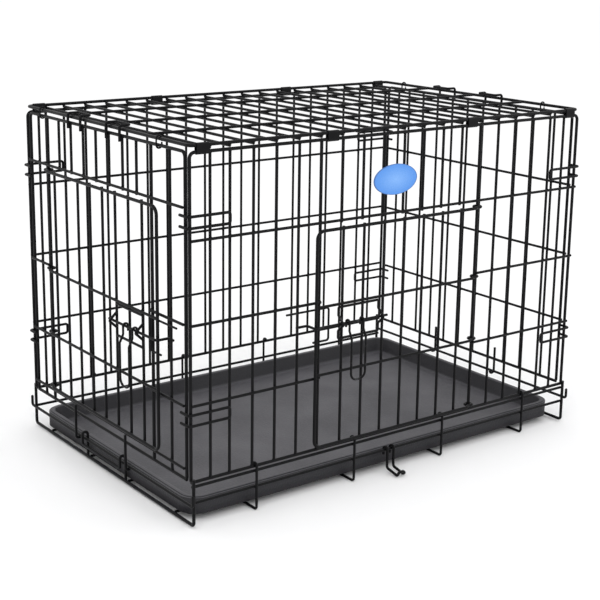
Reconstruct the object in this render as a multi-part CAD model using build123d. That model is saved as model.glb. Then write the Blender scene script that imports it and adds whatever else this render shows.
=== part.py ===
"""Folding wire dog crate: two long sides, two swinging ends, a top, a base, two doors and a tray.

Millimetres, +Z up. X runs along the crate, the side door is in the -Y side and the end door in
the -X end. The origin is on the floor under the middle of the crate.
"""
import os

from build123d import *

os.makedirs("parts", exist_ok=True)

# Driving dimensions
top_height = 550.0
sill_height = 69.0
end_sill_height = 70.0
end_inset = 10.8
end_rod_inset = 0.7

# Wire stock
frame_rod = 5.0
fill_wire = 4.3
base_wire = 4.0
rail_rod = 4.5
ring_wire = 2.5
bolt_rod = 4.0
handle_wire = 3.5
weld = 0.2
play = 0.35
ring_gap = 0.6
corner_bend = 8.0
wire_bend = 4.0

# Wire pattern of the long sides and the top
pitch = 39.5
door_cells = 4
corner_cell = 40.0
lintel_drop = 130.0
bar_heights = (300.5, 184.0)
top_rod_spacing = 122.5

# Wire pattern of the ends
end_hinge_cell = 60.2
end_latch_cell = 90.2
end_lintel_drop = 85.0
end_bar_heights = (300.0, 181.5)
end_low_bar_height = 88.0
end_catch_shift = 6.0

# Doors
door_offset = 10.0
door_gap = 11.0
door_sill_gap = 7.0
door_bar_rise = 29.5
door_bar_shift = 6.0
door_lap = 12.0
end_door_lap = 30.0
end_door_gap = 9.0
end_door_sill_gap = 7.0
end_door_first = 31.0
end_door_last = 48.0
door_corner_bend = 12.0
joggle_length = 9.0

# Bolts, guides, handles and fingers
bolt_height = 265.0
bolt_offset = 15.5
bolt_inside = 4.8
bolt_play = 1.0
bolt_tail = 12.0
guide_wire = 4.0
guide_gap = 42.0
guide_length = 77.0
guide_rise = 24.5
guide_drop = 24.0
guide_vee = 12.0
guide_vee_out = 13.0
handle_width = 27.0
handle_length = 88.0
handle_arch = 6.0
handle_tail = 36.5
handle_bend = 11.0
finger_wire = 3.2
finger_rise = 26.0
finger_drop = 24.0
finger_reach = 24.0
finger_back = 26.0

# Corner hooks, top hooks and hinge rings
upper_hook_drop = 104.0
lower_hook_height = 163.0
hook_spread = 16.0
hook_length = 63.0
hook_tip = 16.0
hook_clearance = 3.3
top_hook_rise = 6.0
top_hook_reach = 13.0
top_hook_root = 8.0
ring_places = (193.0, -168.0)

# Sheet clips
clip_length = 20.0
clip_wall = 1.0
clip_gap = 0.1

# Base
foot_inset = 1.0
end_floor_height = 4.5
base_cross_places = (-271.0, -87.0, 96.0, 281.0)
base_long_places = (198.0, 61.0)
foot_bend = 5.0
foot_rise = 6.0
side_rail_height = 37.0
upper_rail_height = 62.0
left_rail_height = 36.0
right_rail_height = 44.5
rail_upturn = 15.0
stop_places = (86.0, -75.0)
stop_height = 88.0
tie_places = (66.0, -56.0)
tie_arch_height = 47.0
tie_bar_height = 27.0

# Tray, which the crate is made to fit
tray_length = 752.0
tray_width = 470.0
tray_height = 28.0
tray_wall = 2.5
tray_flange = 9.0
tray_lip = 4.0
tray_corner = 30.0
tray_taper = 9.0
tray_end_room = 5.0
tray_side_room = 12.0

# Name plate, left blank
plate_length = 85.0
plate_width = 47.0
plate_thickness = 1.8
plate_drop = 79.0
plate_clip_wall = 1.2
plate_clip_length = 6.0
plate_clip_spread = 20.0
plate_clip_mouth = 2.6
plate_edge = 0.6

# Fold hook on the front rail
fold_hook_places = (-20.0, -7.0)
fold_hook_drop = 29.0
fold_hook_reach = 27.0
fold_hook_upturn = 9.0

# Values that follow from the ones above
half_length = tray_length / 2 + tray_end_room
half_width = tray_width / 2 + tray_side_room
frame_radius = frame_rod / 2
fill_radius = fill_wire / 2
base_radius = base_wire / 2
rail_radius = rail_rod / 2
rod_pair = frame_rod + fill_wire - weld / 2
lintel_height = top_height - lintel_drop
end_lintel_height = top_height - end_lintel_drop
hook_heights = (top_height - upper_hook_drop, lower_hook_height)
plate_height = top_height - plate_drop
panel_top = top_height - rod_pair
bar_offset = frame_radius + fill_radius - weld
thin_offset = frame_radius - fill_radius
end_edge = half_width - end_inset
cells = int((half_length - corner_cell) // pitch)
pattern = [index * pitch for index in range(-cells, cells + 1)]
corner_wire = (cells * pitch + half_length) / 2
uprights = [-corner_wire] + pattern + [corner_wire]
post = door_cells * pitch
over_door = [place for place in pattern if abs(place) < post]
beside_door = [place for place in uprights if abs(place) > post]
end_hinge = end_edge - end_hinge_cell
end_post = end_latch_cell - end_edge
end_pitch = (end_hinge - end_post) / (2 * door_cells)
over_end_door = [end_post + index * end_pitch for index in range(1, 2 * door_cells)]
end_catch = (end_post - end_edge) / 2 - end_catch_shift
beside_end_door = [(end_hinge + end_edge) / 2, end_catch]
end_door_span = end_hinge - end_post + end_door_lap - end_door_first - end_door_last
end_door_pitch = end_door_span / (2 * door_cells - 1)
end_door_stands = [end_hinge - end_door_first - index * end_door_pitch for index in range(2 * door_cells)]
door_top = lintel_height - door_gap
door_bottom = sill_height + door_sill_gap
end_door_top = end_lintel_height - end_door_gap
end_door_bottom = end_low_bar_height + end_door_sill_gap


def long_side(side):
    """Places on a long side: along X, outward from the panel plane, height."""
    return lambda along, out, height: (along, side * (half_width + out), height)


def short_end(side):
    """Places on a short end: along Y, outward from the panel plane, height."""
    return lambda along, out, height: (side * (half_length + out), along, height)


def straight_wire(start, end, diameter):
    run = Vector(*end) - Vector(*start)
    return Solid.make_cylinder(diameter / 2, run.length, Plane(Vector(*start), z_dir=run))


def bent_wire(points, bend, diameter):
    path = FilletPolyline(*points, radius=bend)
    return sweep(Plane(path @ 0, z_dir=path % 0) * Circle(diameter / 2), path=path).solid()


def save(name, solids):
    shape = solids[0] if len(solids) == 1 else Compound(children=solids)
    export_step(shape, f"parts/{name}.step")


def stand(place, along, out, low, high, diameter):
    return straight_wire(place(along, out, low), place(along, out, high), diameter)


def bar(place, start, end, out, height, diameter):
    return straight_wire(place(start, out, height), place(end, out, height), diameter)


# A panel frame is one rod bent to an upside-down U, standing on a straight sill rod
def panel_frame(place, half_span, sill):
    foot = sill + frame_radius - weld
    points = [
        place(-half_span, 0, foot),
        place(-half_span, 0, panel_top),
        place(half_span, 0, panel_top),
        place(half_span, 0, foot),
    ]
    return bent_wire(points, corner_bend, frame_rod)


def full_height(sill):
    return sill + frame_radius - weld, panel_top - frame_radius + weld


# Corner hooks are hairpins on a long side whose two ends turn round the corner
def corner_hook(place, side, height):
    inner = side * (half_length - hook_length)
    outer = side * (half_length + frame_radius + hook_clearance)
    high = height + hook_spread / 2
    low = height - hook_spread / 2
    points = [
        place(outer, -hook_tip, high),
        place(outer, bar_offset, high),
        place(inner, bar_offset, high),
        place(inner, bar_offset, low),
        place(outer, bar_offset, low),
        place(outer, -hook_tip, low),
    ]
    return bent_wire(points, wire_bend, fill_wire)


# Long sides
for side, name in ((-1, "front"), (1, "rear")):
    place = long_side(side)
    low, high = full_height(sill_height)
    has_door = name == "front"
    save(f"{name}_frame", [panel_frame(place, half_length, sill_height)])
    save(f"{name}_sill", [bar(place, -half_length, half_length, 0, sill_height, frame_rod)])
    thin = beside_door if has_door else uprights
    save(f"{name}_uprights", [stand(place, x, thin_offset, low, high, fill_wire) for x in thin])
    bars = [bar(place, -half_length, half_length, bar_offset, lintel_height, fill_wire)]
    for height in bar_heights:
        if has_door:
            for corner in (-1, 1):
                bars.append(bar(place, corner * half_length, corner * post, bar_offset, height, fill_wire))
        else:
            bars.append(bar(place, -half_length, half_length, bar_offset, height, fill_wire))
    save(f"{name}_bars", bars)
    hooks = [corner_hook(place, corner, height) for corner in (-1, 1) for height in hook_heights]
    save(f"{name}_corner_hooks", hooks)

front = long_side(-1)
low, high = full_height(sill_height)
save("front_posts", [stand(front, x, 0, low, high, frame_rod) for x in (-post, post)])
short_low = lintel_height - fill_wire
save("front_short_uprights", [stand(front, x, thin_offset, short_low, high, fill_wire) for x in over_door])

# Top: a ring of rod, cross wires under it and three long rods on the cross wires
ring_end = half_length - end_rod_inset
ring_points = [
    (ring_gap / 2, half_width, top_height),
    (ring_end, half_width, top_height),
    (ring_end, -half_width, top_height),
    (-ring_end, -half_width, top_height),
    (-ring_end, half_width, top_height),
    (-ring_gap / 2, half_width, top_height),
]
save("top_ring", [bent_wire(ring_points, corner_bend, frame_rod)])
cross_height = top_height - bar_offset
crossing = [((x, -half_width, cross_height), (x, half_width, cross_height)) for x in uprights]
save("top_cross_wires", [straight_wire(start, end, fill_wire) for start, end in crossing])
long_height = cross_height + fill_wire - weld
long_end = ring_end - frame_radius + weld
top_rods = [-top_rod_spacing, 0, top_rod_spacing]
save("top_long_rods", [
    straight_wire((-long_end, y, long_height), (long_end, y, long_height), fill_wire) for y in top_rods
])

# Sheet clips hold each long side's top rod under the ring
clip_middle = top_height - rod_pair / 2
clip_round = frame_rod + 2 * clip_gap
clip_corner = (corner_wire + half_length - corner_bend) / 2
clip_door = post - pitch / 2
for side, name in ((-1, "front"), (1, "rear")):
    clips = []
    for x in (-clip_corner, -clip_door, clip_door, clip_corner):
        plane = Plane((x, side * half_width, clip_middle), x_dir=(0, 0, 1), z_dir=(1, 0, 0))
        outline = SlotCenterToCenter(rod_pair, clip_round + 2 * clip_wall)
        hole = SlotCenterToCenter(rod_pair, clip_round)
        clips.append(extrude(plane * (outline - hole), clip_length / 2, both=True).solid())
    save(f"{name}_clips", clips)

# Ends: narrower than the crate, hung from the top ring by wire rings, with two hooks over it
for side, name in ((-1, "left"), (1, "right")):
    place = short_end(side)
    low, high = full_height(end_sill_height)
    has_door = name == "left"
    save(f"{name}_end_frame", [panel_frame(place, end_edge, end_sill_height)])
    save(f"{name}_end_sill", [bar(place, -end_edge, end_edge, 0, end_sill_height, frame_rod)])
    thin = beside_end_door if has_door else beside_end_door + over_end_door + [end_hinge, end_post]
    save(f"{name}_end_uprights", [stand(place, y, thin_offset, low, high, fill_wire) for y in thin])
    head = end_lintel_height if has_door else lintel_height
    bars = [bar(place, -end_edge, end_edge, bar_offset, head, fill_wire)]
    if has_door:
        bars.append(bar(place, -end_edge, end_edge, bar_offset, end_low_bar_height, fill_wire))
    for height in end_bar_heights:
        if has_door:
            bars.append(bar(place, -end_edge, end_post, bar_offset, height, fill_wire))
            bars.append(bar(place, end_hinge, end_edge, bar_offset, height, fill_wire))
        else:
            bars.append(bar(place, -end_edge, end_edge, bar_offset, height, fill_wire))
    save(f"{name}_end_bars", bars)
    hooks = []
    hook_top = top_height + top_hook_rise
    hook_root = panel_top - top_hook_root
    for first in range(1, len(over_end_door) - 1, door_cells - 1):
        near_wire, far_wire = over_end_door[first], over_end_door[first + 1]
        points = [
            place(near_wire, bar_offset, hook_root),
            place(near_wire, bar_offset, hook_top),
            place(near_wire, -top_hook_reach, hook_top),
            place(far_wire, -top_hook_reach, hook_top),
            place(far_wire, bar_offset, hook_top),
            place(far_wire, bar_offset, hook_root),
        ]
        hooks.append(bent_wire(points, wire_bend, fill_wire))
    save(f"{name}_end_hooks", hooks)

left_end = short_end(-1)
low, high = full_height(end_sill_height)
save("left_end_posts", [stand(left_end, y, 0, low, high, frame_rod) for y in (end_post, end_hinge)])
short_low = end_lintel_height - fill_wire
save("left_end_short_uprights", [
    stand(left_end, y, thin_offset, short_low, high, fill_wire) for y in over_end_door
])

# Each hinge ring goes round the top ring's end rod and the end panel's top rod
rings = []
ring_half = frame_radius + ring_wire / 2 + play + end_rod_inset / 2
ring_high = top_height + frame_radius + ring_wire / 2 + play
ring_low = panel_top - frame_radius - ring_wire / 2 - play
for side in (-1, 1):
    middle = side * (half_length - end_rod_inset / 2)
    for y in ring_places:
        points = [
            (middle + ring_half, y, clip_middle + ring_gap),
            (middle + ring_half, y, ring_high),
            (middle - ring_half, y, ring_high),
            (middle - ring_half, y, ring_low),
            (middle + ring_half, y, ring_low),
            (middle + ring_half, y, clip_middle - ring_gap),
        ]
        rings.append(bent_wire(points, ring_half - weld / 2, ring_wire))
save("end_hinge_rings", rings)


# Door wires hang outside the panel and curl round the hinge post
def curl(place, hinge, height, diameter):
    radius = frame_radius + diameter / 2 + play
    points = [
        place(hinge - radius - joggle_length, door_offset, height),
        place(hinge - radius, radius, height),
        place(hinge + radius, radius, height),
        place(hinge + radius, -radius, height),
        place(hinge - radius, -radius, height),
        place(hinge - radius, 0, height),
    ]
    tight = radius - weld / 2
    return points, [wire_bend, wire_bend, tight, tight, tight]


def door(name, place, hinge, latch_post, lap, top, bottom, bars, stands):
    edge = latch_post - lap
    upper, upper_bends = curl(place, hinge, top, frame_rod)
    lower, lower_bends = curl(place, hinge, bottom, frame_rod)
    corners = [place(edge, door_offset, top), place(edge, door_offset, bottom)]
    points = upper[::-1] + corners + lower
    bends = upper_bends[::-1] + [door_corner_bend, door_corner_bend] + lower_bends
    save(f"{name}_rod", [bent_wire(points, bends, frame_rod)])
    cross = []
    for height in bars:
        points, bends = curl(place, hinge, height, fill_wire)
        start = place(edge + frame_radius - weld, door_offset, height)
        cross.append(bent_wire([start] + points, bends, fill_wire))
    save(f"{name}_bars", cross)
    out = door_offset - frame_radius - fill_radius + weld
    reach = frame_radius - weld
    save(f"{name}_uprights", [stand(place, a, out, bottom - reach, top + reach, fill_wire) for a in stands])
    return edge


# A guide frame with two V bends carries the sliding bolt, whose cranked tip goes behind a wire
def latch(name, place, edge, catch):
    out = door_offset - frame_radius + guide_wire / 2
    near = edge + guide_gap
    far = near + guide_length
    top = bolt_height + guide_rise
    bottom = bolt_height - guide_drop
    vee = out + guide_vee_out
    points = [place((near + far) / 2 - ring_gap / 2, out, top)]
    points += [place(near, out, top)]
    points += [place(near, out, bolt_height + guide_vee)]
    points += [place(near, vee, bolt_height)]
    points += [place(near, out, bolt_height - guide_vee)]
    points += [place(near, out, bottom)]
    points += [place(far, out, bottom)]
    points += [place(far, out, bolt_height - guide_vee)]
    points += [place(far, vee, bolt_height)]
    points += [place(far, out, bolt_height + guide_vee)]
    points += [place(far, out, top)]
    points += [place((near + far) / 2 + ring_gap / 2, out, top)]
    save(f"{name}_bolt_guide", [bent_wire(points, guide_wire / 2 + weld, guide_wire)])

    crank = edge - frame_radius - bolt_play - bolt_rod / 2
    tip = catch + fill_radius + bolt_play
    points = [
        place(far + bolt_tail, bolt_offset, bolt_height),
        place(crank, bolt_offset, bolt_height),
        place(crank, -bolt_inside, bolt_height),
        place(tip, -bolt_inside, bolt_height),
    ]
    save(f"{name}_bolt", [bent_wire(points, wire_bend, bolt_rod)])

    turn = bolt_rod / 2 + handle_wire / 2 + play
    left = far - handle_tail - handle_width
    right = far - handle_tail
    front_line = bolt_offset + turn
    end = bolt_height - handle_length
    points = []
    for a, order in ((left, 1), (right, -1)):
        leg = [
            place(a, bolt_offset - turn, bolt_height - turn - handle_wire),
            place(a, bolt_offset - turn, bolt_height + turn),
            place(a, front_line, bolt_height + turn),
            place(a, front_line, bolt_height - guide_drop / 2),
            place(a, front_line + handle_arch, bolt_height - guide_drop),
            place(a, front_line + handle_arch, end),
        ]
        points += leg[::order]
    tight = turn - weld / 2
    bends = [tight, tight, wire_bend, wire_bend, handle_bend]
    save(f"{name}_bolt_handle", [bent_wire(points, bends + bends[::-1], handle_wire)])

    inside = door_offset - frame_radius - finger_wire / 2 + weld
    high = bolt_height + finger_rise
    low = bolt_height - finger_drop
    points = [
        place(catch - finger_reach, inside, high),
        place(edge + finger_back, inside, high),
        place(edge + finger_back, inside, low),
        place(edge - frame_radius, inside, low),
    ]
    save(f"{name}_door_finger", [bent_wire(points, wire_bend, finger_wire)])


door_bars = [bolt_height + door_bar_rise, bar_heights[1] + door_bar_shift]
front_edge = door("front_door", front, post, -post, door_lap, door_top, door_bottom, door_bars, over_door)
latch("front", front, front_edge, -post - pitch)
end_door_bars = [bolt_height + door_bar_rise, end_bar_heights[1] + door_bar_shift]
end_edge_rod = door(
    "end_door", left_end, end_hinge, end_post, end_door_lap,
    end_door_top, end_door_bottom, end_door_bars, end_door_stands,
)
latch("end", left_end, end_edge_rod, end_catch)

# Base: cross wires on the floor with feet that curl round the sills, long wires on the cross wires.
# The feet of the end rods stand straight up outside the corners.
rail_out = frame_radius + base_radius + play - base_radius - rail_radius + weld


def floor_wire(x, height, diameter, curled):
    out = half_width + rail_out + rail_radius + diameter / 2 - weld
    turn = out - half_width
    tight = turn - weld / 2
    side_points = []
    for side in (-1, 1):
        leg = [(x, side * out, sill_height + foot_rise)]
        if curled:
            inside = side * (half_width - turn)
            over = sill_height + turn
            leg = [(x, inside, sill_height), (x, inside, over), (x, side * out, over)]
        leg.append((x, side * out, height))
        side_points.append(leg)
    points = side_points[0] + side_points[1][::-1]
    bends = [tight, tight, foot_bend] if curled else [foot_bend]
    return bent_wire(points, bends + bends[::-1], diameter)


save("base_cross_wires", [floor_wire(x, base_radius, base_wire, True) for x in base_cross_places])
foot_place = half_length - foot_inset
save("base_end_rods", [
    floor_wire(x, end_floor_height, frame_rod, False) for x in (-foot_place, foot_place)
])
base_long_height = base_radius + base_wire - weld
base_long_end = foot_place - frame_radius + weld
base_long = [y * side for y in base_long_places for side in (-1, 1)]
save("base_long_wires", [
    straight_wire((-base_long_end, y, base_long_height), (base_long_end, y, base_long_height), base_wire)
    for y in base_long
])
rail_line = half_width + rail_out
end_rail_line = foot_place + frame_radius + rail_radius - weld
rail_end = end_rail_line - rail_rod
save("base_side_rails", [
    straight_wire((-rail_end, y, height), (rail_end, y, height), rail_rod)
    for y, height in (
        (-rail_line, side_rail_height), (rail_line, side_rail_height), (-rail_line, upper_rail_height),
    )
])
end_rail_half = rail_line + rail_rod + frame_rod + play
end_rails = []
for side, height in ((-1, left_rail_height), (1, right_rail_height)):
    points = [
        (side * end_rail_line, -end_rail_half, height + rail_upturn),
        (side * end_rail_line, -end_rail_half, height),
        (side * end_rail_line, end_rail_half, height),
        (side * end_rail_line, end_rail_half, height + rail_upturn),
    ]
    end_rails.append(bent_wire(points, wire_bend, rail_rod))
save("base_end_rails", end_rails)

# Stop wires have an eye round the end rail and stand outside the end panel
stop_turn = rail_radius + fill_radius + weld
stop_line = half_length + bar_offset + fill_wire + play
stops = []
for side, height in ((-1, left_rail_height), (1, right_rail_height)):
    for y in stop_places:
        points = [
            (side * (end_rail_line - stop_turn), y, height),
            (side * (end_rail_line - stop_turn), y, height - stop_turn),
            (side * stop_line, y, height - stop_turn),
            (side * stop_line, y, stop_height),
        ]
        stops.append(bent_wire(points, stop_turn - weld / 2, fill_wire))
save("base_stop_wires", stops)

# The tie at the left end stands on the floor rod, arches over the end rail and ends in a crossbar
tie_inside = end_rail_line - rail_radius - fill_radius - play
tie_outside = end_rail_line + rail_radius + fill_radius + play
tie_foot = end_floor_height + frame_radius - weld
tie_points = []
for y, order in ((tie_places[0], 1), (tie_places[1], -1)):
    leg = [
        (-tie_inside, y, tie_foot),
        (-tie_inside, y, tie_arch_height),
        (-tie_outside, y, tie_arch_height),
        (-tie_outside, y, tie_bar_height),
    ]
    tie_points += leg[::order]
save("tray_tie", [bent_wire(tie_points, (tie_outside - tie_inside) / 2 - weld / 2, fill_wire)])

# Tray: a drafted pan with a flange and a turned-down lip
tray_floor = base_long_height + base_radius + play
tray_rim = tray_floor + tray_height
shrink = 2 * tray_flange


def pan(length, width, corner, bottom, height):
    outline = RectangleRounded(length, width, corner)
    return extrude(Pos(0, 0, bottom + height) * outline, -height, taper=tray_taper)


mouth_corner = tray_corner - tray_flange
body = pan(tray_length - shrink, tray_width - shrink, mouth_corner, tray_floor, tray_height)
hollow = pan(
    tray_length - shrink - 2 * tray_wall, tray_width - shrink - 2 * tray_wall,
    mouth_corner - tray_wall, tray_floor + tray_wall, tray_height - tray_wall,
)
flange = extrude(Pos(0, 0, tray_rim) * RectangleRounded(tray_length, tray_width, tray_corner), -tray_wall)
skirt = extrude(Pos(0, 0, tray_rim) * RectangleRounded(tray_length, tray_width, tray_corner), -tray_lip)
skirt_inner = extrude(
    Pos(0, 0, tray_rim) * RectangleRounded(
        tray_length - 2 * tray_wall, tray_width - 2 * tray_wall, tray_corner - tray_wall
    ), -tray_lip,
)
tray = body + flange + (skirt - skirt_inner) - hollow
save("tray", [tray.solid()])

# Name plate: a blank oval with four snap clips round two uprights
plate_middle = -pitch / 2
plate_seat = plate_clip_wall - weld
plate_back = half_width + thin_offset + fill_radius + plate_seat
plate_plane = Plane((plate_middle, -plate_back, plate_height), x_dir=(1, 0, 0), z_dir=(0, -1, 0))
plate = extrude(plate_plane * Ellipse(plate_length / 2, plate_width / 2), plate_thickness)
plate = fillet(plate.faces().sort_by(Axis.Y)[0].edges(), plate_edge)
save("name_plate", [plate.solid()])
grips = []
grip_outer = fill_radius + plate_clip_wall
for x in (-pitch, 0):
    for step in (-1, 1):
        height = plate_height + step * plate_clip_spread / 2
        plane = Plane((x, -half_width - thin_offset, height))
        ring = Circle(grip_outer) - Circle(fill_radius)
        mouth = Pos(0, grip_outer) * Rectangle(plate_clip_mouth, 2 * grip_outer)
        seat = Pos(0, -fill_radius - plate_seat - grip_outer) * Rectangle(2 * grip_outer, 2 * grip_outer)
        grips.append(extrude(plane * (ring - mouth - seat), plate_clip_length / 2, both=True).solid())
save("plate_clips", grips)

# Fold hook: two eyes round the front rail, prongs to the floor and a turned-up crossbar
hook_turn = rail_radius + fill_radius + play
hook_floor = side_rail_height - fold_hook_drop
hook_out = rail_line + hook_turn
points = []
for x, order in ((fold_hook_places[0], 1), (fold_hook_places[1], -1)):
    leg = [
        (x, -(rail_line - hook_turn), side_rail_height - hook_turn - fill_wire),
        (x, -(rail_line - hook_turn), side_rail_height + hook_turn),
        (x, -hook_out, side_rail_height + hook_turn),
        (x, -hook_out, hook_floor),
        (x, -(hook_out + fold_hook_reach), fill_radius + weld),
        (x, -(hook_out + fold_hook_reach), fold_hook_upturn),
    ]
    points += leg[::order]
tight = hook_turn - weld / 2
bends = [tight, tight, wire_bend, wire_bend, fill_wire]
save("fold_hook", [bent_wire(points, bends + bends[::-1], fill_wire)])
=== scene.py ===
import math

import bmesh
import bpy
from mathutils import Matrix, Vector


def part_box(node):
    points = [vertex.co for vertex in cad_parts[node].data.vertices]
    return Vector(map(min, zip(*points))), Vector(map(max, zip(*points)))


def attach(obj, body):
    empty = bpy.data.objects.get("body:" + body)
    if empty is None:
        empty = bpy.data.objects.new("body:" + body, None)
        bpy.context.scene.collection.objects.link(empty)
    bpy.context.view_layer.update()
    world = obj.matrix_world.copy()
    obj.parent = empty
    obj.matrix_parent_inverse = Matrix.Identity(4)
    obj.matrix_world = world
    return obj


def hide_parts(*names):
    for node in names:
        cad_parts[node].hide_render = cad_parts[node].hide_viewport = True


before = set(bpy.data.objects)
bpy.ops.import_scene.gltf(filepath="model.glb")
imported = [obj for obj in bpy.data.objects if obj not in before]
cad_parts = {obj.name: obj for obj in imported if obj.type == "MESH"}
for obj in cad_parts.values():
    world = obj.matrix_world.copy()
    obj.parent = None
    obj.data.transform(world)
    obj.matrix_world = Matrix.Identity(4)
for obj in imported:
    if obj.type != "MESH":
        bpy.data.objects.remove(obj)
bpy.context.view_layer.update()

MM = 0.001

# Base. Low-carbon steel wire, bent, resistance welded and dipped in black epoxy before assembly.
# Floor wires carry the tray, and their feet rise and curl round the sills of the long sides.
# The dip leaves a satin skin with a fine orange peel, a little thicker and rougher at the welds.
COAT_DEEP = (0.0025, 0.0025, 0.0030, 1.0)
COAT_PALE = (0.0070, 0.0070, 0.0078, 1.0)
COAT_SPECULAR = 0.10
COAT_DUST = (0.018, 0.018, 0.019, 1.0)
PATCH_SCALE = 34.0
PEEL_SCALE = 620.0
PEEL_DEPTH = 0.00012
WIRE_PEEL_SCALE = 760.0
WELD_PEEL_SCALE = 900.0
WELD_PEEL_DEPTH = 0.0003


def node_group(name, inputs, outputs):
    group = bpy.data.node_groups.new(name, "ShaderNodeTree")
    for label, value in inputs.items():
        socket = group.interface.new_socket(label, in_out="INPUT", socket_type="NodeSocketFloat")
        socket.default_value = value
    for label, kind in outputs.items():
        group.interface.new_socket(label, in_out="OUTPUT", socket_type=kind)
    return group, group.nodes.new("NodeGroupInput"), group.nodes.new("NodeGroupOutput")


def add_node(tree, kind, **values):
    node = tree.nodes.new(kind)
    for label, value in values.items():
        setattr(node, label, value)
    return node


def ranged(tree, source, low, high, to_low, to_high):
    node = add_node(tree, "ShaderNodeMapRange")
    for label, value in zip(("From Min", "From Max", "To Min", "To Max"), (low, high, to_low, to_high)):
        node.inputs[label].default_value = value
    tree.links.new(source, node.inputs["Value"])
    return node.outputs["Result"]


def blended(tree, mask, first, second):
    node = add_node(tree, "ShaderNodeMix", data_type="RGBA")
    tree.links.new(mask, node.inputs["Factor"])
    for socket, value in ((node.inputs[6], first), (node.inputs[7], second)):
        if isinstance(value, tuple):
            socket.default_value = value
        else:
            tree.links.new(value, socket)
    return node.outputs[2]


def noise(tree, coordinate, scale, detail):
    node = add_node(tree, "ShaderNodeTexNoise")
    node.inputs["Detail"].default_value = detail
    if isinstance(scale, float):
        node.inputs["Scale"].default_value = scale
    else:
        tree.links.new(scale, node.inputs["Scale"])
    tree.links.new(coordinate, node.inputs["Vector"])
    return node.outputs["Fac"]


# The dipped skin: patchy tone and gloss over centimetres, orange peel under a millimetre
dip_skin, dip_in, dip_out = node_group(
    "dip_skin",
    {"Patch Scale": PATCH_SCALE, "Peel Scale": PEEL_SCALE},
    {"Patches": "NodeSocketFloat", "Peel": "NodeSocketFloat", "Dust": "NodeSocketFloat"},
)
dip_place = add_node(dip_skin, "ShaderNodeTexCoord").outputs["Object"]
dip_patches = noise(dip_skin, dip_place, dip_in.outputs["Patch Scale"], 4.0)
dip_skin.links.new(dip_patches, dip_out.inputs["Patches"])
dip_skin.links.new(noise(dip_skin, dip_place, dip_in.outputs["Peel Scale"], 2.0), dip_out.inputs["Peel"])
dip_normal = add_node(dip_skin, "ShaderNodeNewGeometry").outputs["Normal"]
dip_split = add_node(dip_skin, "ShaderNodeSeparateXYZ")
dip_skin.links.new(dip_normal, dip_split.inputs["Vector"])
dip_top = ranged(dip_skin, dip_split.outputs["Z"], 0.35, 1.0, 0.0, 1.0)
dip_mix = add_node(dip_skin, "ShaderNodeMath", operation="MULTIPLY")
dip_skin.links.new(dip_top, dip_mix.inputs[0])
dip_skin.links.new(dip_patches, dip_mix.inputs[1])
dip_skin.links.new(dip_mix.outputs["Value"], dip_out.inputs["Dust"])


def new_material(name):
    material = bpy.data.materials.new(name)
    material.use_nodes = True
    tree = material.node_tree
    return material, tree, tree.nodes["Principled BSDF"]


def bump(tree, shader, height, depth, strength):
    node = add_node(tree, "ShaderNodeBump")
    node.inputs["Strength"].default_value = strength
    node.inputs["Distance"].default_value = depth
    tree.links.new(height, node.inputs["Height"])
    tree.links.new(node.outputs["Normal"], shader.inputs["Normal"])


def dipped(name, deep, pale, gloss, matt, peel_scale, peel_depth):
    material, tree, shader = new_material(name)
    skin = add_node(tree, "ShaderNodeGroup", node_tree=dip_skin)
    skin.inputs["Peel Scale"].default_value = peel_scale
    tone = blended(tree, skin.outputs["Patches"], deep, pale)
    dust = ranged(tree, skin.outputs["Dust"], 0.3, 0.8, 0.0, 0.5)
    tree.links.new(blended(tree, dust, tone, COAT_DUST), shader.inputs["Base Color"])
    tree.links.new(ranged(tree, skin.outputs["Patches"], 0.3, 0.7, gloss, matt), shader.inputs["Roughness"])
    shader.inputs["Specular IOR Level"].default_value = COAT_SPECULAR
    bump(tree, shader, skin.outputs["Peel"], peel_depth, 0.5)
    return material


rod_coat = dipped("rod_coat", COAT_DEEP, COAT_PALE, 0.30, 0.44, PEEL_SCALE, PEEL_DEPTH)
wire_coat = dipped("wire_coat", COAT_DEEP, COAT_PALE, 0.34, 0.50, WIRE_PEEL_SCALE, PEEL_DEPTH)
weld_coat = dipped("weld_coat", COAT_DEEP, COAT_PALE, 0.42, 0.62, WELD_PEEL_SCALE, WELD_PEEL_DEPTH)


def coat(material, *nodes):
    for name in nodes:
        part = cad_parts[name]
        part.data.materials.clear()
        part.data.materials.append(material)


def finished(name, shape, material, body, replaced=()):
    """Turns a bmesh into a piece that rides on a body."""
    mesh = bpy.data.meshes.new(name)
    shape.to_mesh(mesh)
    shape.free()
    piece = bpy.data.objects.new(name, mesh)
    bpy.context.scene.collection.objects.link(piece)
    mesh.materials.append(material)
    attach(piece, body)
    if replaced:
        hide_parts(*replaced)
    return piece


def smooth(piece, angle):
    for face in piece.data.polygons:
        face.use_smooth = True
    piece.data.set_sharp_from_angle(angle=math.radians(angle))


# Welds: where two wires cross they are melted into each other, which leaves a flat bead
BEAD = 2.7 * MM
BEAD_FLAT = 1.5 * MM


def weld_beads(name, body, places):
    """A bead at each (point, flat axis), squashed along the axis from wire to wire."""
    beads = bmesh.new()
    for point, flat in places:
        size = [BEAD_FLAT if axis == flat else BEAD for axis in range(3)]
        spot = Matrix.Translation(point) @ Matrix.Diagonal((*size, 1.0))
        bmesh.ops.create_icosphere(beads, subdivisions=2, radius=1.0, matrix=spot)
    smooth(finished(name, beads, weld_coat, body), 180)


def wire_tips(name, body, places):
    """Rounded ends on cut wires, each (point, radius)."""
    tips = bmesh.new()
    for point, radius in places:
        spot = Matrix.Translation(point)
        bmesh.ops.create_uvsphere(tips, u_segments=16, v_segments=10, radius=radius, matrix=spot)
    smooth(finished(name, tips, rod_coat, body), 180)


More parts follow.
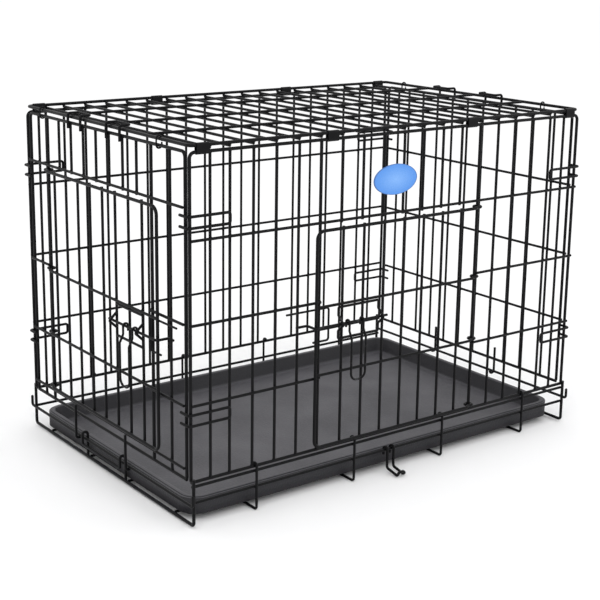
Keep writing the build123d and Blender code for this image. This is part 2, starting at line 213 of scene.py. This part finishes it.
coat(rod_coat, "base_end_rods", "base_side_rails", "base_end_rails")
coat(wire_coat, "base_cross_wires", "base_long_wires", "base_stop_wires", "tray_tie", "fold_hook")
FLOOR_CROSS = (-271.0 * MM, -87.0 * MM, 96.0 * MM, 281.0 * MM)
RAIL_RADIUS = 2.25 * MM
FLOOR_LONG = (198.0 * MM, 61.0 * MM)
LEFT_UPTURN = 51.0 * MM
rail_low, rail_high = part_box("base_side_rails")
long_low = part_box("base_long_wires")[0]
base_beads = []
for x in FLOOR_CROSS:
    for y in [sign * place for place in FLOOR_LONG for sign in (-1, 1)]:
        base_beads.append(((x, y, long_low.z), 2))
    for y in (rail_low.y, rail_high.y):
        base_beads.append(((x, y, rail_low.z + RAIL_RADIUS), 1))
    base_beads.append(((x, rail_low.y, rail_high.z - RAIL_RADIUS), 1))
weld_beads("base_welds", "cage", base_beads)
upturn_low, upturn_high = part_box("base_end_rails")
rail_tips = []
for x, height in ((upturn_low.x + RAIL_RADIUS, LEFT_UPTURN), (upturn_high.x - RAIL_RADIUS, upturn_high.z)):
    for y in (upturn_low.y + RAIL_RADIUS, upturn_high.y - RAIL_RADIUS):
        rail_tips.append(((x, y, height), RAIL_RADIUS))
wire_tips("rail_tips", "cage", rail_tips)

# Long sides. Each is one rod bent to an upside-down U on a straight sill, filled with thin uprights.
# Bars run across the outside of the uprights, and hairpins near the corners hold the ends shut.
# The front one leaves a doorway between two thick posts.
PITCH = 39.5 * MM
FILL_RADIUS = 2.15 * MM
ROD_RADIUS = 2.5 * MM
DOOR_CELLS = 4
LINTEL = 420.0 * MM
BAR_HEIGHTS = (300.5 * MM, 184.0 * MM)
BEAD_OUT = 2.4 * MM
CORNER_ROOM = 40.0 * MM
HOOK_LEVELS = (446.0 * MM, 163.0 * MM)
HOOK_HALF = 8.0 * MM
coat(rod_coat, "front_frame", "front_sill", "front_posts", "rear_frame", "rear_sill")
coat(wire_coat, "front_uprights", "front_short_uprights", "front_bars", "front_corner_hooks")
coat(wire_coat, "rear_uprights", "rear_bars", "rear_corner_hooks")
side_low, side_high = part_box("front_frame")
half_length = side_high.x - ROD_RADIUS
panel_top = side_high.z - ROD_RADIUS
front_plane = (side_low.y + side_high.y) / 2
sill_low, sill_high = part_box("front_sill")
sill = (sill_low.z + sill_high.z) / 2
last_cell = int((half_length - CORNER_ROOM) // PITCH)
pattern = [index * PITCH for index in range(-last_cell, last_cell + 1)]
corner_wire = (last_cell * PITCH + half_length) / 2
uprights = [-corner_wire] + pattern + [corner_wire]
post = DOOR_CELLS * PITCH


def panel_beads(sign, has_door):
    """Beads where the bars cross the uprights and where the uprights meet the frame."""
    beads = []
    out = sign * (abs(front_plane) + BEAD_OUT)
    for x in uprights:
        over_door = has_door and abs(x) < post - PITCH / 2
        heights = (LINTEL,) if over_door else (LINTEL,) + BAR_HEIGHTS
        beads += [((x, out, height), 1) for height in heights]
        ends = (panel_top - ROD_RADIUS,)
        if not over_door:
            ends += (sill + ROD_RADIUS,)
        beads += [((x, sign * abs(front_plane), height), 2) for height in ends]
    return beads


weld_beads("front_welds", "cage", panel_beads(-1, True))
weld_beads("rear_welds", "cage", panel_beads(1, False))
hook_heights = [level + sign * HOOK_HALF for level in HOOK_LEVELS for sign in (-1, 1)]
for label in ("front", "rear"):
    hook_low, hook_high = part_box(f"{label}_corner_hooks")
    tip_y = hook_high.y if label == "front" else hook_low.y
    places = [hook_low.x + FILL_RADIUS, hook_high.x - FILL_RADIUS]
    tips = [((x, tip_y, height), FILL_RADIUS) for x in places for height in hook_heights]
    wire_tips(f"{label}_hook_tips", "cage", tips)

# Top. A closed ring of rod with cross wires welded under it and three long wires over them.
# Sheet-metal sleeves, rolled round the ring and the top rods of the long sides, hold them together.
# Wire rings hang the two ends from it, so that they can fold in.
coat(rod_coat, "top_ring")
coat(wire_coat, "top_cross_wires", "top_long_rods", "end_hinge_rings")
TOP_RODS = (-122.5 * MM, 0.0, 122.5 * MM)
ring_low, ring_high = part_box("top_ring")
cross_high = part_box("top_cross_wires")[1]
top_beads = []
for x in uprights:
    top_beads += [((x, y, cross_high.z), 2) for y in TOP_RODS]
    for y in (ring_low.y + ROD_RADIUS, ring_high.y - ROD_RADIUS):
        top_beads.append(((x, y, cross_high.z), 2))
for y in TOP_RODS:
    for x in (ring_low.x + 2 * ROD_RADIUS, ring_high.x - 2 * ROD_RADIUS):
        top_beads.append(((x, y, ring_low.z + ROD_RADIUS), 0))
weld_beads("top_welds", "cage", top_beads)

CLIP_LENGTH = 20.0 * MM
CLIP_WALL = 1.0 * MM
CLIP_GAP = 0.1 * MM
CLIP_ROUND = ROD_RADIUS + CLIP_GAP + CLIP_WALL
CLIP_SIDES = 28
CLIP_SEAM = 2.4 * MM
SEAM_EDGE = 0.3 * MM
CLIP_PEEL_SCALE = 500.0
CLIP_PEEL_DEPTH = 0.0001
clip_low, clip_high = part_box("front_clips")
clip_pair = (clip_high.z - clip_low.z) / 2 - CLIP_ROUND
clip_middle = (clip_high.z + clip_low.z) / 2
clip_ends = clip_high.x - CLIP_LENGTH / 2
clip_coat = dipped("clip_coat", COAT_DEEP, COAT_PALE, 0.26, 0.38, CLIP_PEEL_SCALE, CLIP_PEEL_DEPTH)


def rolled_sleeve(shape, x, y, inward):
    """A slot-shaped sleeve along X with a lapped seam on its inner side."""
    ring = bmesh.ops.create_circle(shape, segments=CLIP_SIDES, radius=CLIP_ROUND)["verts"]
    for vertex in ring:
        vertex.co.y += clip_pair if vertex.co.y > 0 else -clip_pair
    turn = Matrix.Rotation(math.radians(90), 4, "Z") @ Matrix.Rotation(math.radians(90), 4, "X")
    bmesh.ops.transform(shape, matrix=turn, verts=ring)
    bmesh.ops.translate(shape, vec=(x - CLIP_LENGTH / 2, y, clip_middle), verts=ring)
    edges = list({edge for vertex in ring for edge in vertex.link_edges})
    grown = bmesh.ops.extrude_edge_only(shape, edges=edges)["geom"]
    far = [item for item in grown if isinstance(item, bmesh.types.BMVert)]
    bmesh.ops.translate(shape, vec=(CLIP_LENGTH, 0, 0), verts=far)
    wall = [item for item in grown if isinstance(item, bmesh.types.BMFace)]
    bmesh.ops.recalc_face_normals(shape, faces=wall)
    seam_place = Matrix.Translation((x, y + inward * (CLIP_ROUND - CLIP_WALL * 0.4), clip_middle))
    seam_size = Matrix.Diagonal((CLIP_LENGTH, CLIP_WALL * 1.2, CLIP_SEAM, 1.0))
    seam = bmesh.ops.create_cube(shape, size=1.0, matrix=seam_place @ seam_size)["verts"]
    seam_edges = list({edge for vertex in seam for edge in vertex.link_edges})
    bmesh.ops.bevel(
        shape, geom=seam_edges, offset=SEAM_EDGE, affect="EDGES", segments=2, profile=0.5, material=-1
    )
    return wall


for label, sign in (("front", -1), ("rear", 1)):
    sleeves = bmesh.new()
    walls = []
    for x in (-clip_ends, -(post - PITCH / 2), post - PITCH / 2, clip_ends):
        walls += rolled_sleeve(sleeves, x, sign * abs(front_plane), -sign)
    bmesh.ops.solidify(sleeves, geom=walls, thickness=CLIP_WALL)
    piece = finished(f"{label}_sleeves", sleeves, clip_coat, "cage", [f"{label}_clips"])
    smooth(piece, 40)

# Ends. Narrower panels of the same wire that hang in rings under the top and fold inward.
# Wire hooks at their heads reach over the end rods of the top, and the left one has the end door.
END_PITCH = 40.25 * MM
END_DOOR_MIDDLE = 15.0 * MM
END_LINTEL = 465.0 * MM
END_LOW_BAR = 88.0 * MM
END_BARS = (300.0 * MM, 181.5 * MM)
CATCH_SHIFT = 6.0 * MM
coat(rod_coat, "left_end_frame", "left_end_sill", "left_end_posts", "right_end_frame", "right_end_sill")
coat(wire_coat, "left_end_uprights", "left_end_short_uprights", "left_end_bars", "left_end_hooks")
coat(wire_coat, "right_end_uprights", "right_end_bars", "right_end_hooks")
end_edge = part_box("left_end_frame")[1].y - ROD_RADIUS
end_sill_low, end_sill_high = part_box("left_end_sill")
end_sill = (end_sill_low.z + end_sill_high.z) / 2
end_hinge = END_DOOR_MIDDLE + DOOR_CELLS * END_PITCH
end_post = END_DOOR_MIDDLE - DOOR_CELLS * END_PITCH
end_short = [END_DOOR_MIDDLE + index * END_PITCH for index in range(1 - DOOR_CELLS, DOOR_CELLS)]
end_catch = (end_post - end_edge) / 2 - CATCH_SHIFT
end_full = [(end_hinge + end_edge) / 2, end_hinge, end_post, end_catch]


def end_beads(sign, has_door):
    """The same on an end, whose uprights over a door stop short."""
    beads = []
    out = sign * (half_length + BEAD_OUT)
    for y in end_short + end_full:
        short = has_door and y in end_short
        heights = (END_LINTEL if has_door else LINTEL,)
        if not short:
            heights += END_BARS + ((END_LOW_BAR,) if has_door else ())
        beads += [((out, y, height), 0) for height in heights]
        ends = (panel_top - ROD_RADIUS,)
        if not short:
            ends += (end_sill + ROD_RADIUS,)
        beads += [((sign * half_length, y, height), 2) for height in ends]
    return beads


weld_beads("left_end_welds", "left_end", end_beads(-1, True))
weld_beads("right_end_welds", "right_end", end_beads(1, False))

# Doors. A rod bent to a U and curled round the hinge post, two bars and thin uprights, hung outside.
# A bent guide on each carries a sliding bolt, which a wire handle pulls; a finger wire laps the panel.
# Bolts, handles and guides rub on each other, so their skin is polished and thin at the rubs.
RUB_STEEL = (0.11, 0.11, 0.115, 1.0)
RUB_SCALE = 120.0


def rubbed(name):
    material, tree, shader = new_material(name)
    skin = add_node(tree, "ShaderNodeGroup", node_tree=dip_skin)
    skin.inputs["Patch Scale"].default_value = RUB_SCALE
    tone = blended(tree, skin.outputs["Patches"], COAT_DEEP, COAT_PALE)
    bare = ranged(tree, skin.outputs["Patches"], 0.62, 0.74, 0.0, 0.6)
    tree.links.new(blended(tree, bare, tone, RUB_STEEL), shader.inputs["Base Color"])
    tree.links.new(ranged(tree, skin.outputs["Patches"], 0.3, 0.75, 0.40, 0.24), shader.inputs["Roughness"])
    tree.links.new(ranged(tree, skin.outputs["Patches"], 0.62, 0.74, 0.0, 0.7), shader.inputs["Metallic"])
    shader.inputs["Specular IOR Level"].default_value = COAT_SPECULAR
    bump(tree, shader, skin.outputs["Peel"], PEEL_DEPTH, 0.4)
    return material


bolt_coat = rubbed("bolt_coat")
coat(rod_coat, "front_door_rod", "end_door_rod")
coat(wire_coat, "front_door_bars", "front_door_uprights", "end_door_bars", "end_door_uprights")
coat(wire_coat, "front_door_finger", "end_door_finger")
coat(bolt_coat, "front_bolt", "end_bolt", "front_bolt_guide", "end_bolt_guide")
coat(bolt_coat, "front_bolt_handle", "end_bolt_handle")
DOOR_BEAD_OUT = 7.6 * MM
END_DOOR_FIRST = 31.0 * MM
END_DOOR_PITCH = 39.0 * MM


def door_beads(body, rods, stands, to_point, flat):
    """Beads where a door's uprights meet its rod and its bars."""
    rod_low, rod_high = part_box(rods[0])
    bar_low, bar_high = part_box(rods[1])
    top = rod_high.z - ROD_RADIUS
    bottom = rod_low.z + ROD_RADIUS
    heights = [top, bottom, bar_high.z - FILL_RADIUS, bar_low.z + FILL_RADIUS]
    beads = [(to_point(along, height), flat) for along in stands for height in heights]
    weld_beads(f"{body}_welds", body, beads)


def on_front_door(along, height):
    return (along, front_plane - DOOR_BEAD_OUT, height)


def on_end_door(along, height):
    return (-half_length - DOOR_BEAD_OUT, along, height)


front_stands = [place for place in pattern if abs(place) < post - PITCH / 2]
door_beads("front_door", ("front_door_rod", "front_door_bars"), front_stands, on_front_door, 1)
end_stands = [end_hinge - END_DOOR_FIRST - index * END_DOOR_PITCH for index in range(2 * DOOR_CELLS)]
door_beads("end_door", ("end_door_rod", "end_door_bars"), end_stands, on_end_door, 0)
BOLT_RADIUS = 2.0 * MM
for label, axis in (("front", 0), ("end", 1)):
    bolt_low, bolt_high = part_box(f"{label}_bolt")
    other = 1 - axis
    height = (bolt_low.z + bolt_high.z) / 2
    tail = [0.0, 0.0, height]
    tail[axis] = bolt_high[axis]
    tail[other] = bolt_low[other] + BOLT_RADIUS
    nose = [0.0, 0.0, height]
    nose[axis] = bolt_low[axis]
    nose[other] = bolt_high[other] - BOLT_RADIUS
    wire_tips(f"{label}_bolt_tips", f"{label}_bolt", [(tail, BOLT_RADIUS), (nose, BOLT_RADIUS)])

# Tray. One formed sheet of black plastic, pebbled on top, with drafted walls and a rolled rim.
# It lies on the floor wires, faded to grey where paws and light have been; its walls and undersides are painted
# darker than its upward faces, as painted shade.
TRAY_WALL = 2.4 * MM
TRAY_LIP = 26.0 * MM
TRAY_LEDGE = 2.6 * MM
TRAY_BEAD = 1.6 * MM
TRAY_FLANGE = 6.5 * MM
TRAY_CORNER = 30.0 * MM
TRAY_DRAFT = 9.0 * MM
TRAY_EDGE = 2.2 * MM
TRAY_COVE = 5.0 * MM
TRAY_FADED = (0.082, 0.080, 0.090, 1.0)
TRAY_WORN = (0.067, 0.066, 0.073, 1.0)
# Painted shade: the dark colour given to every tray face that does not point up.
TRAY_PAINTED_SHADE = (0.019, 0.0185, 0.0222, 1.0)
TRAY_SPECKLE = (0.125, 0.123, 0.134, 1.0)
PEBBLE_SCALE = 330.0
PEBBLE_DEPTH = 0.6 * MM
FADE_SCALE = 9.0
SPECKLE_SCALE = 420.0
tray_low, tray_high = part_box("tray")
tray_size = tray_high - tray_low
tray_depth = tray_size.z - TRAY_WALL
pan = bmesh.new()
bmesh.ops.create_grid(pan, x_segments=1, y_segments=1, size=0.5)
bmesh.ops.scale(pan, vec=(tray_size.x, tray_size.y, 1.0), verts=pan.verts)
bmesh.ops.translate(pan, vec=(0, 0, tray_high.z - TRAY_LIP), verts=pan.verts)
bmesh.ops.bevel(
    pan, geom=list(pan.verts), offset=TRAY_CORNER, affect="VERTICES", segments=10, profile=0.5, material=-1
)
floor_face = pan.faces[:][0]
grown = bmesh.ops.extrude_face_region(pan, geom=[floor_face])["geom"]
lifted = [item for item in grown if isinstance(item, bmesh.types.BMVert)]
bmesh.ops.translate(pan, vec=(0, 0, TRAY_LIP - TRAY_BEAD), verts=lifted)
bmesh.ops.delete(pan, geom=[floor_face], context="FACES_ONLY")
top_face = [item for item in grown if isinstance(item, bmesh.types.BMFace)][0]
fine_edges = list(top_face.edges)


def step_in(face, inward, rise):
    """Draws the top face in and lifts or sinks it, which leaves one ring of wall."""
    bmesh.ops.inset_region(pan, faces=[face], thickness=inward, use_even_offset=True)
    bmesh.ops.translate(pan, vec=(0, 0, rise), verts=list(face.verts))


step_in(top_face, TRAY_LEDGE, 0.0)
fine_edges += list(top_face.edges)
step_in(top_face, TRAY_BEAD / 2, TRAY_BEAD)
fine_edges += list(top_face.edges)
step_in(top_face, TRAY_FLANGE, 0.0)
rim_edges = list(top_face.edges)
step_in(top_face, TRAY_DRAFT, -tray_depth)
cove_edges = list(top_face.edges)
step_in(top_face, TRAY_COVE + TRAY_EDGE, 0.0)
tray_rounds = ((rim_edges, TRAY_EDGE, 4), (cove_edges, TRAY_COVE, 6), (fine_edges, TRAY_BEAD / 3, 2))
for edges, radius, segments in tray_rounds:
    sharp = [edge for edge in edges if edge.is_valid]
    bmesh.ops.bevel(pan, geom=sharp, offset=radius, affect="EDGES", segments=segments, profile=0.5, material=-1)
bmesh.ops.recalc_face_normals(pan, faces=pan.faces)

tray_plastic, tree, shader = new_material("tray_plastic")
tray_place = add_node(tree, "ShaderNodeTexCoord").outputs["Object"]
pebble = add_node(tree, "ShaderNodeTexVoronoi", feature="SMOOTH_F1")
pebble.inputs["Scale"].default_value = PEBBLE_SCALE
pebble.inputs["Smoothness"].default_value = 0.6
tree.links.new(tray_place, pebble.inputs["Vector"])
fade = noise(tree, tray_place, FADE_SCALE, 5.0)
speckle = noise(tree, tray_place, SPECKLE_SCALE, 2.0)
worn = blended(tree, ranged(tree, fade, 0.35, 0.65, 0.0, 1.0), TRAY_FADED, TRAY_WORN)
worn = blended(tree, ranged(tree, speckle, 0.45, 0.75, 0.0, 0.35), worn, TRAY_SPECKLE)
tray_normal = add_node(tree, "ShaderNodeNewGeometry").outputs["Normal"]
tray_split = add_node(tree, "ShaderNodeSeparateXYZ")
tree.links.new(tray_normal, tray_split.inputs["Vector"])
# Painted shade: faces turned away from up blend to the dark colour, and upward faces keep the faded grey.
painted_shade_by_facing = ranged(tree, tray_split.outputs["Z"], 0.55, 0.98, 0.0, 1.0)
tree.links.new(blended(tree, painted_shade_by_facing, TRAY_PAINTED_SHADE, worn), shader.inputs["Base Color"])
tree.links.new(ranged(tree, fade, 0.3, 0.7, 0.48, 0.66), shader.inputs["Roughness"])
shader.inputs["Specular IOR Level"].default_value = 0.35
bump(tree, shader, pebble.outputs["Distance"], PEBBLE_DEPTH, 0.6)
tray = finished("tray_pan", pan, tray_plastic, "tray", ["tray"])
thickness = tray.modifiers.new("sheet", "SOLIDIFY")
thickness.thickness = TRAY_WALL
thickness.offset = -1.0
smooth(tray, 50)

# Name plate. A blank oval of blue plastic, slightly domed, that snaps onto two uprights.
# Its face is printed a clear mid blue and bears no words or marks; it is painted paler towards the middle as a
# painted highlight on the dome.
PLATE_DOME = 0.5 * MM
PLATE_RIM = 1.6 * MM
PLATE_SINK = 0.25 * MM
PLATE_ROUND = 0.4 * MM
DOME_STEPS = ((0.75, 0.5), (0.62, 0.33), (0.45, 0.17))
DOME_INSET = 0.05 * MM
PLATE_BLUE = (0.075, 0.265, 0.720, 1.0)
# Painted highlight: the paler blue at the middle of the plate's face.
PLATE_PAINTED_HIGHLIGHT = (0.185, 0.400, 0.820, 1.0)
PLATE_EDGE = (0.050, 0.150, 0.420, 1.0)
PLATE_GRAIN_SCALE = 900.0
PLATE_GRAIN_DEPTH = 0.05 * MM
CLIP_TONE_SCALE = 300.0
plate_low, plate_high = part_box("name_plate")
plate_middle = (plate_low + plate_high) / 2
plate_size = plate_high - plate_low
oval = bmesh.new()
bmesh.ops.create_circle(oval, cap_ends=True, segments=72, radius=0.5)
bmesh.ops.scale(oval, vec=(plate_size.x, plate_size.z, 1.0), verts=oval.verts)
back = oval.faces[:][0]
grown = bmesh.ops.extrude_face_region(oval, geom=[back])["geom"]
raised = [item for item in grown if isinstance(item, bmesh.types.BMVert)]
bmesh.ops.translate(oval, vec=(0, 0, plate_size.y), verts=raised)
face = [item for item in grown if isinstance(item, bmesh.types.BMFace)][0]
edge_loop = list(face.edges)
bmesh.ops.inset_region(oval, faces=[face], thickness=PLATE_RIM, depth=-PLATE_SINK, use_even_offset=True)
for shrink, rise in DOME_STEPS:
    bmesh.ops.inset_region(oval, faces=[face], thickness=DOME_INSET)
    bmesh.ops.scale(oval, vec=(shrink, shrink, 1.0), verts=list(face.verts))
    bmesh.ops.translate(oval, vec=(0, 0, PLATE_DOME * rise), verts=list(face.verts))
bmesh.ops.bevel(oval, geom=edge_loop, offset=PLATE_ROUND, affect="EDGES", segments=3, profile=0.5, material=-1)
bmesh.ops.recalc_face_normals(oval, faces=oval.faces)
plate_back = Matrix.Translation((plate_middle.x, plate_high.y, plate_middle.z))
stand_up = plate_back @ Matrix.Rotation(math.pi / 2, 4, "X")
bmesh.ops.transform(oval, matrix=stand_up, verts=oval.verts)

plate_print, tree, shader = new_material("plate_print")
plate_place = add_node(tree, "ShaderNodeTexCoord").outputs["Object"]
centred = add_node(tree, "ShaderNodeMapping")
centred.inputs["Location"].default_value = (-plate_middle.x, 0.0, -plate_middle.z)
tree.links.new(plate_place, centred.inputs["Vector"])
shrunk = add_node(tree, "ShaderNodeVectorMath", operation="MULTIPLY")
shrunk.inputs[1].default_value = (2 / plate_size.x, 0.0, 2 / plate_size.z)
tree.links.new(centred.outputs["Vector"], shrunk.inputs[0])
reach = add_node(tree, "ShaderNodeVectorMath", operation="LENGTH")
tree.links.new(shrunk.outputs["Vector"], reach.inputs[0])
# Painted highlight: the blue pales towards the middle of the oval.
blue_with_painted_highlight = blended(tree, ranged(tree, reach.outputs["Value"], 0.0, 0.9, 0.0, 1.0), PLATE_PAINTED_HIGHLIGHT, PLATE_BLUE)
rim_mask = ranged(tree, reach.outputs["Value"], 0.955, 0.965, 0.0, 1.0)
tree.links.new(blended(tree, rim_mask, blue_with_painted_highlight, PLATE_EDGE), shader.inputs["Base Color"])
plate_grain = noise(tree, plate_place, PLATE_GRAIN_SCALE, 2.0)
tree.links.new(ranged(tree, plate_grain, 0.3, 0.7, 0.22, 0.32), shader.inputs["Roughness"])
shader.inputs["Specular IOR Level"].default_value = 0.5
bump(tree, shader, plate_grain, PLATE_GRAIN_DEPTH, 0.3)
plate = finished("oval_plate", oval, plate_print, "cage", ["name_plate"])
smooth(plate, 40)

clip_blue, tree, shader = new_material("clip_blue")
clip_place = add_node(tree, "ShaderNodeTexCoord").outputs["Object"]
clip_tone = noise(tree, clip_place, CLIP_TONE_SCALE, 3.0)
tree.links.new(blended(tree, clip_tone, PLATE_EDGE, PLATE_BLUE), shader.inputs["Base Color"])
tree.links.new(ranged(tree, clip_tone, 0.3, 0.7, 0.3, 0.45), shader.inputs["Roughness"])
coat(clip_blue, "plate_clips")

# Studio. A white paper floor in a bright white room, with a soft lamp high on the left and one at the right.
# The camera sees the room as plain white; the floor keeps the crate's shadow.
FLOOR_HALF = 40.0
PAPER_DEEP = (0.93, 0.93, 0.935, 1.0)
PAPER_PALE = (0.95, 0.95, 0.955, 1.0)
ROOM_LIGHT = 1.08
ROOM_SEEN = 1.0
LAMP_AIM = (0.0, 0.0, 0.25)
floor_mesh = bmesh.new()
bmesh.ops.create_grid(floor_mesh, x_segments=1, y_segments=1, size=FLOOR_HALF)
floor_data = bpy.data.meshes.new("studio_floor")
floor_mesh.to_mesh(floor_data)
floor_mesh.free()
floor = bpy.data.objects.new("studio_floor", floor_data)
bpy.context.scene.collection.objects.link(floor)
paper, tree, shader = new_material("paper")
paper_tone = noise(tree, add_node(tree, "ShaderNodeTexCoord").outputs["Object"], 2.0, 2.0)
paper_colour = blended(tree, paper_tone, PAPER_DEEP, PAPER_PALE)
tree.links.new(paper_colour, shader.inputs["Base Color"])
shader.inputs["Roughness"].default_value = 0.9
shader.inputs["Specular IOR Level"].default_value = 0.0
floor_data.materials.append(paper)

world = bpy.data.worlds.new("white_room")
bpy.context.scene.world = world
world.use_nodes = True
sky = world.node_tree
room = sky.nodes["Background"]
room.inputs["Color"].default_value = (1.0, 1.0, 1.0, 1.0)
ray = add_node(sky, "ShaderNodeLightPath")
seen = add_node(sky, "ShaderNodeMath", operation="MAXIMUM")
sky.links.new(ray.outputs["Is Camera Ray"], seen.inputs[0])
sky.links.new(ray.outputs["Is Glossy Ray"], seen.inputs[1])
seen_through = add_node(sky, "ShaderNodeMath", operation="MAXIMUM")
sky.links.new(seen.outputs["Value"], seen_through.inputs[0])
sky.links.new(ray.outputs["Is Transmission Ray"], seen_through.inputs[1])
room_strength = ranged(sky, seen_through.outputs["Value"], 0.0, 1.0, ROOM_LIGHT, ROOM_SEEN)
sky.links.new(room_strength, room.inputs["Strength"])


def soft_lamp(name, place, target, size, power):
    lamp = bpy.data.lights.new(name, "AREA")
    lamp.shape = "DISK"
    lamp.size = size
    lamp.energy = power
    holder = bpy.data.objects.new(name, lamp)
    holder.location = place
    holder.rotation_euler = (Vector(target) - Vector(place)).to_track_quat("-Z", "Y").to_euler()
    bpy.context.scene.collection.objects.link(holder)


soft_lamp("high_lamp", (-1.6, -1.4, 2.6), LAMP_AIM, 1.8, 16.0)
soft_lamp("right_lamp", (2.2, -1.8, 1.6), LAMP_AIM, 1.4, 8.0)

# Camera. Placed from the crate's corners in the picture: a short telephoto above the top, looking down.
# The optical axis meets the picture a little above its middle row.
AZIMUTH = math.radians(-36.885)
ELEVATION = math.radians(13.259)
ROLL = math.radians(0.831)
CAMERA_PLACE = Vector((-1.3052, -1.7276, 0.8196))
FOCAL_PIXELS = 1317.7
PICTURE_PIXELS = 600.0
AXIS_ROW = 250.0
SENSOR = 36.0
flat_reach = math.cos(ELEVATION)
ahead = Vector((-math.sin(AZIMUTH) * flat_reach, math.cos(AZIMUTH) * flat_reach, -math.sin(ELEVATION)))
level = ahead.cross(Vector((0, 0, 1))).normalized()
above = level.cross(ahead)
across = math.cos(ROLL) * level + math.sin(ROLL) * above
upward_axis = math.cos(ROLL) * above - math.sin(ROLL) * level
lens = bpy.data.cameras.new("camera")
lens.sensor_width = SENSOR
lens.sensor_fit = "HORIZONTAL"
lens.lens = FOCAL_PIXELS * SENSOR / PICTURE_PIXELS
lens.shift_y = (AXIS_ROW - PICTURE_PIXELS / 2) / PICTURE_PIXELS
lens.clip_end = 200.0
camera = bpy.data.objects.new("camera", lens)
turn = Matrix((across, upward_axis, -ahead)).transposed().to_4x4()
camera.matrix_world = Matrix.Translation(CAMERA_PLACE) @ turn
bpy.context.scene.collection.objects.link(camera)
bpy.context.scene.camera = camera
bpy.context.scene.view_settings.view_transform = "Standard"
